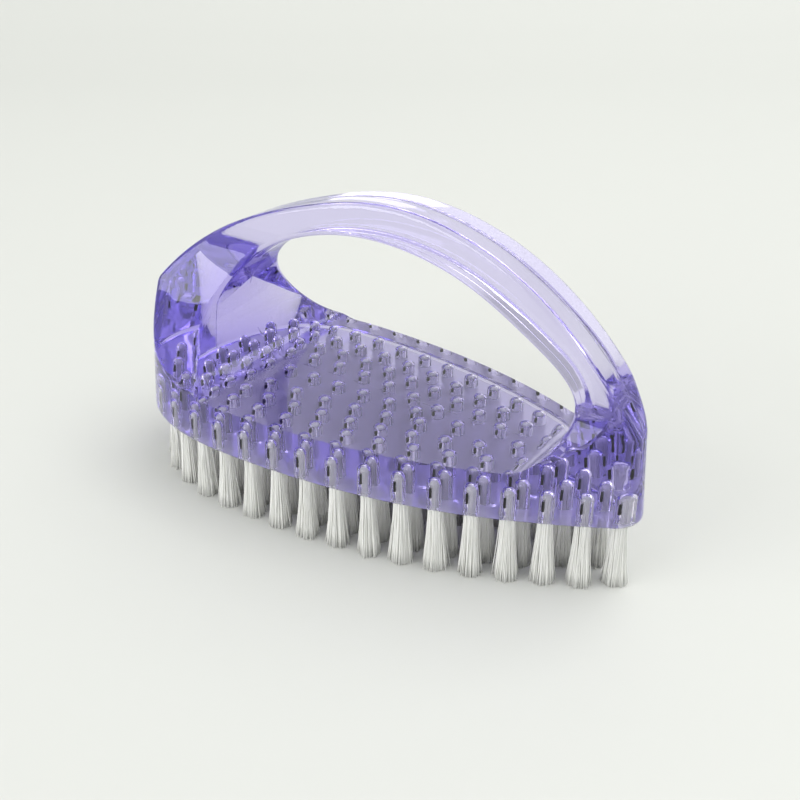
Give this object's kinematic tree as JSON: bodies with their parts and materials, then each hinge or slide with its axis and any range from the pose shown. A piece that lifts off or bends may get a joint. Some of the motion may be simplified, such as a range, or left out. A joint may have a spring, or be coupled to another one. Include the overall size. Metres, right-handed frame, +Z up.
{
  "type": "nail brush",
  "caption": "Hand-held acrylic nail brush: a flat-iron base with an arched handle, set with loops of short nylon tufts held by wire anchors.",
  "frame": {"origin": "centre of the footprint, on the plane of the bristle tips that the brush stands on", "axes": "+X along the brush to its narrow tip, +Y across it, +Z up from the bristles to the handle"},
  "size_m": [0.0968, 0.044, 0.0551],
  "materials": {
    "tinted_acrylic": "gloss",
    "white_nylon": "matte",
    "anchor_steel": "satin"
  },
  "bodies": {
    "root": {"brush_body": "tinted_acrylic", "tufts_loop_1": "white_nylon", "tufts_loop_2": "white_nylon", "tufts_loop_3": "white_nylon", "tufts_loop_4": "white_nylon", "tufts_centre_row": "white_nylon", "anchors_loop_1": "anchor_steel", "anchors_loop_2": "anchor_steel", "anchors_loop_3": "anchor_steel", "anchors_loop_4": "anchor_steel", "anchors_centre_row": "anchor_steel"}
  },
  "joints": []
}
